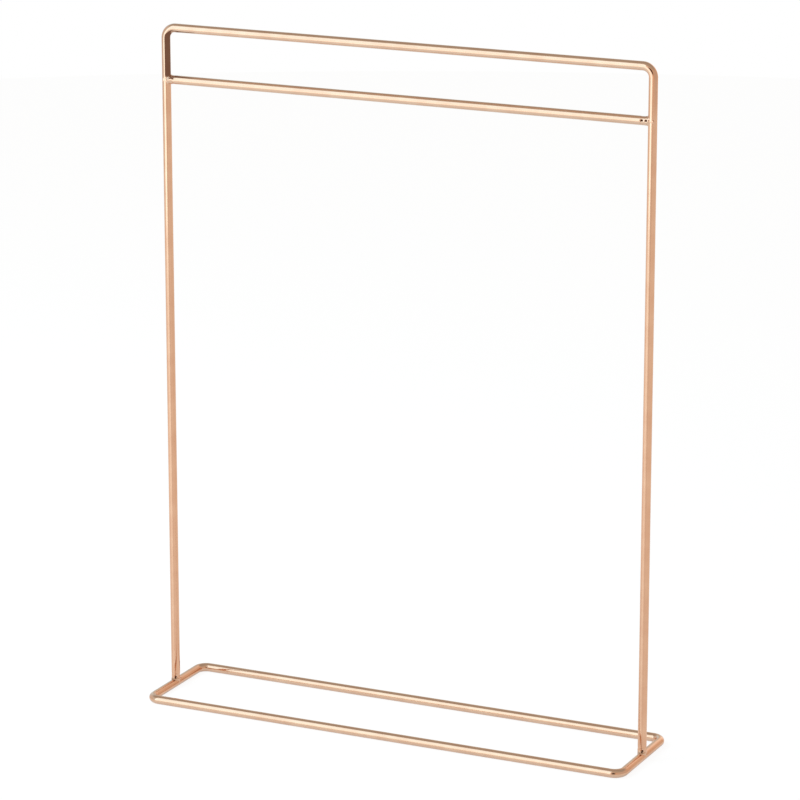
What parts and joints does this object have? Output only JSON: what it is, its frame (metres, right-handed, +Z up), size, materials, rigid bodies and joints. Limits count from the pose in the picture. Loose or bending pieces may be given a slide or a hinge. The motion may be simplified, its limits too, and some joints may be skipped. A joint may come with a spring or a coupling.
{
  "type": "photo album stand",
  "caption": "Free-standing wire stand for a ring-bound photo album: an upside-down U hoop with a straight hanging bar near its top, welded upright onto a flat rectangular wire base.",
  "frame": {"origin": "middle of the footprint, on the surface the stand rests on", "axes": "+Z up, +X along the width and the crossbar, +Y along the depth; the front and the back are alike"},
  "size_m": [0.2296, 0.0522, 0.3],
  "materials": {
    "plated_wire": "polished",
    "plated_weld": "gloss"
  },
  "bodies": {
    "root": {"upright_hoop": "plated_wire", "crossbar": "plated_wire", "base_ring": "plated_wire", "crossbar_weld_left": "plated_weld", "crossbar_weld_right": "plated_weld", "foot_weld_left": "plated_weld", "foot_weld_right": "plated_weld"}
  },
  "joints": []
}
